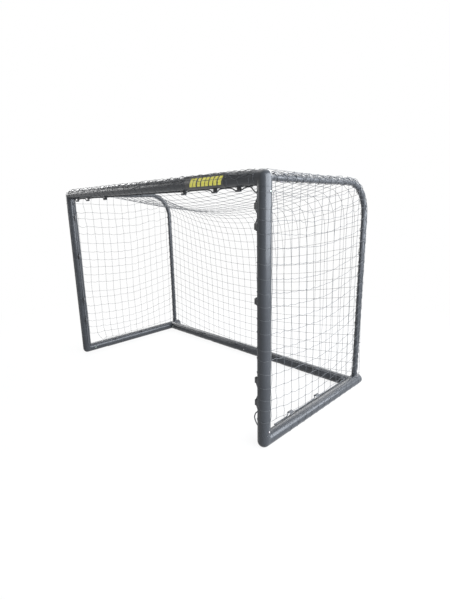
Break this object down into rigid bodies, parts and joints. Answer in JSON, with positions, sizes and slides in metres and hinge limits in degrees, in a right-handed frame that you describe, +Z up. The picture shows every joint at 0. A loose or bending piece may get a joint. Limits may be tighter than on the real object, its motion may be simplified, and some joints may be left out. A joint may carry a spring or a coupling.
{
  "type": "soccer goal",
  "caption": "Portable plug-together soccer goal: round steel tube frame with ball corners, curved side tubes, a hooked-on box net and push-in snap buttons at the joints.",
  "frame": {"origin": "on the ground at the centre of the goal's outline", "axes": "+X along the crossbar to the right as seen from in front, +Y from the open mouth to the rear bar, +Z up"},
  "size_m": [1.8276, 0.9213, 1.2033],
  "materials": {
    "anthracite_paint": "semi-gloss anthracite powder coat on round steel tube",
    "zinc_steel": "bright zinc plated steel, inside the tubes and on the snap buttons",
    "black_plastic": "matt black moulded net hooks and rail end caps",
    "net_cord": "knotted black polyethylene cord",
    "yellow_label": "plain yellow and black vinyl label without writing"
  },
  "bodies": {
    "frame": {"bent_tube_left": "anthracite_paint", "bent_tube_right": "anthracite_paint", "crossbar_joiner": "zinc_steel", "crossbar_label": "yellow_label", "crossbar_left": "anthracite_paint", "crossbar_right": "anthracite_paint", "front_corner_left": "anthracite_paint", "front_corner_right": "anthracite_paint", "ground_rope": "net_cord", "hook_crossbar_1": "black_plastic", "hook_crossbar_2": "black_plastic", "hook_crossbar_3": "black_plastic", "hook_crossbar_4": "black_plastic", "hook_crossbar_5": "black_plastic", "hook_crossbar_6": "black_plastic", "hook_post_left_1": "black_plastic", "hook_post_left_2": "black_plastic", "hook_post_left_3": "black_plastic", "hook_post_left_4": "black_plastic", "hook_post_right_1": "black_plastic", "hook_post_right_2": "black_plastic", "hook_post_right_3": "black_plastic", "hook_post_right_4": "black_plastic", "hook_post_right_5": "black_plastic", "hook_rail_left_1": "black_plastic", "hook_rail_left_2": "black_plastic", "hook_rail_right_1": "black_plastic", "hook_rail_right_2": "black_plastic", "hook_rear_bar_1": "black_plastic", "hook_rear_bar_2": "black_plastic", "hook_rear_bar_3": "black_plastic", "hook_rear_bar_4": "black_plastic", "mouth_rope": "net_cord", "net_back": "net_cord", "net_left": "net_cord", "net_right": "net_cord", "net_top": "net_cord", "post_left": "anthracite_paint", "post_right": "anthracite_paint", "rail_cap_left": "black_plastic", "rail_cap_right": "black_plastic", "rear_bar_joiner": "zinc_steel", "rear_bar_left": "anthracite_paint", "rear_bar_right": "anthracite_paint", "side_rail_left": "anthracite_paint", "side_rail_right": "anthracite_paint", "top_corner_left": "anthracite_paint", "top_corner_right": "anthracite_paint"},
    "button_crossbar_middle": {"button_crossbar_middle": "zinc_steel"},
    "button_post_foot_left": {"button_post_foot_left": "zinc_steel"},
    "button_post_foot_right": {"button_post_foot_right": "zinc_steel"},
    "button_post_top_left": {"button_post_top_left": "zinc_steel"},
    "button_post_top_right": {"button_post_top_right": "zinc_steel"},
    "button_rail_front_left": {"button_rail_front_left": "zinc_steel"},
    "button_rail_front_right": {"button_rail_front_right": "zinc_steel"},
    "button_rear_bar_left": {"button_rear_bar_left": "zinc_steel"},
    "button_rear_bar_middle": {"button_rear_bar_middle": "zinc_steel"},
    "button_rear_bar_right": {"button_rear_bar_right": "zinc_steel"},
    "button_top_tube_left": {"button_top_tube_left": "zinc_steel"},
    "button_top_tube_right": {"button_top_tube_right": "zinc_steel"}
  },
  "joints": [
    {"name": "button_crossbar_middle_press", "type": "slide", "parent": "frame", "child": "button_crossbar_middle", "axis": [0, -1, 0], "range_m": [0, 0.005], "stiffness_N_per_m": 1500, "springref_m": -0.003},
    {"name": "button_post_foot_left_press", "type": "slide", "parent": "frame", "child": "button_post_foot_left", "axis": [1, 0, 0], "range_m": [0, 0.005], "stiffness_N_per_m": 1500, "springref_m": -0.003},
    {"name": "button_post_foot_right_press", "type": "slide", "parent": "frame", "child": "button_post_foot_right", "axis": [-1, 0, 0], "range_m": [0, 0.005], "stiffness_N_per_m": 1500, "springref_m": -0.003},
    {"name": "button_post_top_left_press", "type": "slide", "parent": "frame", "child": "button_post_top_left", "axis": [1, 0, 0], "range_m": [0, 0.005], "stiffness_N_per_m": 1500, "springref_m": -0.003},
    {"name": "button_post_top_right_press", "type": "slide", "parent": "frame", "child": "button_post_top_right", "axis": [-1, 0, 0], "range_m": [0, 0.005], "stiffness_N_per_m": 1500, "springref_m": -0.003},
    {"name": "button_rail_front_left_press", "type": "slide", "parent": "frame", "child": "button_rail_front_left", "axis": [-1, 0, 0], "range_m": [0, 0.005], "stiffness_N_per_m": 1500, "springref_m": -0.003},
    {"name": "button_rail_front_right_press", "type": "slide", "parent": "frame", "child": "button_rail_front_right", "axis": [1, 0, 0], "range_m": [0, 0.005], "stiffness_N_per_m": 1500, "springref_m": -0.003},
    {"name": "button_rear_bar_left_press", "type": "slide", "parent": "frame", "child": "button_rear_bar_left", "axis": [0, 1, 0], "range_m": [0, 0.005], "stiffness_N_per_m": 1500, "springref_m": -0.003},
    {"name": "button_rear_bar_middle_press", "type": "slide", "parent": "frame", "child": "button_rear_bar_middle", "axis": [0, 1, 0], "range_m": [0, 0.005], "stiffness_N_per_m": 1500, "springref_m": -0.003},
    {"name": "button_rear_bar_right_press", "type": "slide", "parent": "frame", "child": "button_rear_bar_right", "axis": [0, 1, 0], "range_m": [0, 0.005], "stiffness_N_per_m": 1500, "springref_m": -0.003},
    {"name": "button_top_tube_left_press", "type": "slide", "parent": "frame", "child": "button_top_tube_left", "axis": [0, 0, 1], "range_m": [0, 0.0035], "stiffness_N_per_m": 1200, "springref_m": -0.003},
    {"name": "button_top_tube_right_press", "type": "slide", "parent": "frame", "child": "button_top_tube_right", "axis": [0, 0, 1], "range_m": [0, 0.0035], "stiffness_N_per_m": 1200, "springref_m": -0.003}
  ]
}
